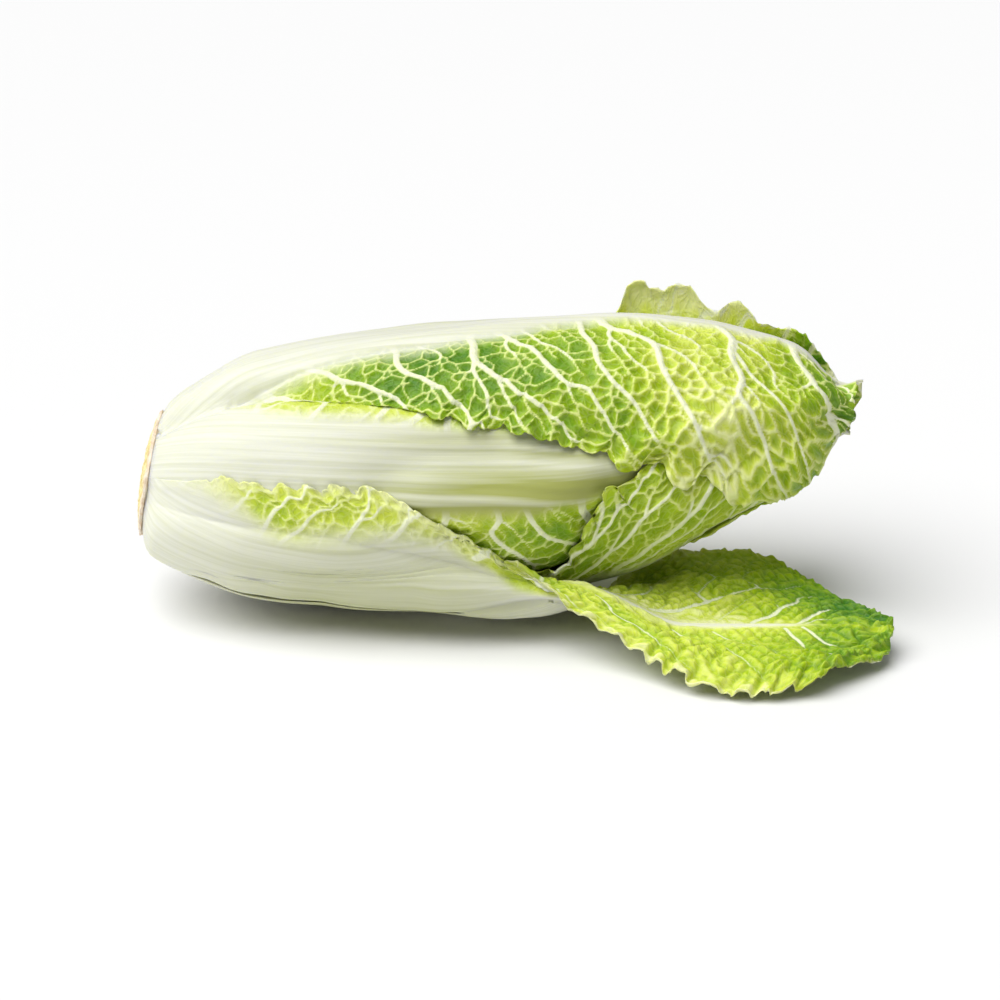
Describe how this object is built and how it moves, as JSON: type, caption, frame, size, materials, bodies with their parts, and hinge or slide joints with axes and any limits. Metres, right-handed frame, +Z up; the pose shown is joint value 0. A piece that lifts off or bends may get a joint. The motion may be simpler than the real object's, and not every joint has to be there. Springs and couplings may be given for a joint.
{
  "type": "chinese cabbage",
  "caption": "Napa cabbage head lying on its side, leaves wrapped round a heart, one outer leaf peeled open beside it, with thick white midribs, raised veins and ruffled edges.",
  "frame": {"origin": "middle of the whole seen from above, on the surface that it lies on", "axes": "+X along the head from the cut stem to the leaf tips, -Y towards the open leaf, +Z up"},
  "size_m": [0.3104, 0.1734, 0.1259],
  "materials": {
    "outer_leaf": "waxy green leaf with white ribs",
    "inner_leaf": "waxy pale green leaf",
    "heart": "waxy yellow-green leaf",
    "cut_stem": "matt cut stem"
  },
  "bodies": {
    "root": {"stem": "cut_stem", "heart": "heart", "inner_leaf_over": "inner_leaf", "inner_leaf_under": "inner_leaf", "inner_leaf_back": "inner_leaf", "leaf_open": "outer_leaf", "leaf_top": "outer_leaf", "leaf_front": "outer_leaf", "leaf_bottom": "outer_leaf", "leaf_back": "outer_leaf"}
  },
  "joints": []
}
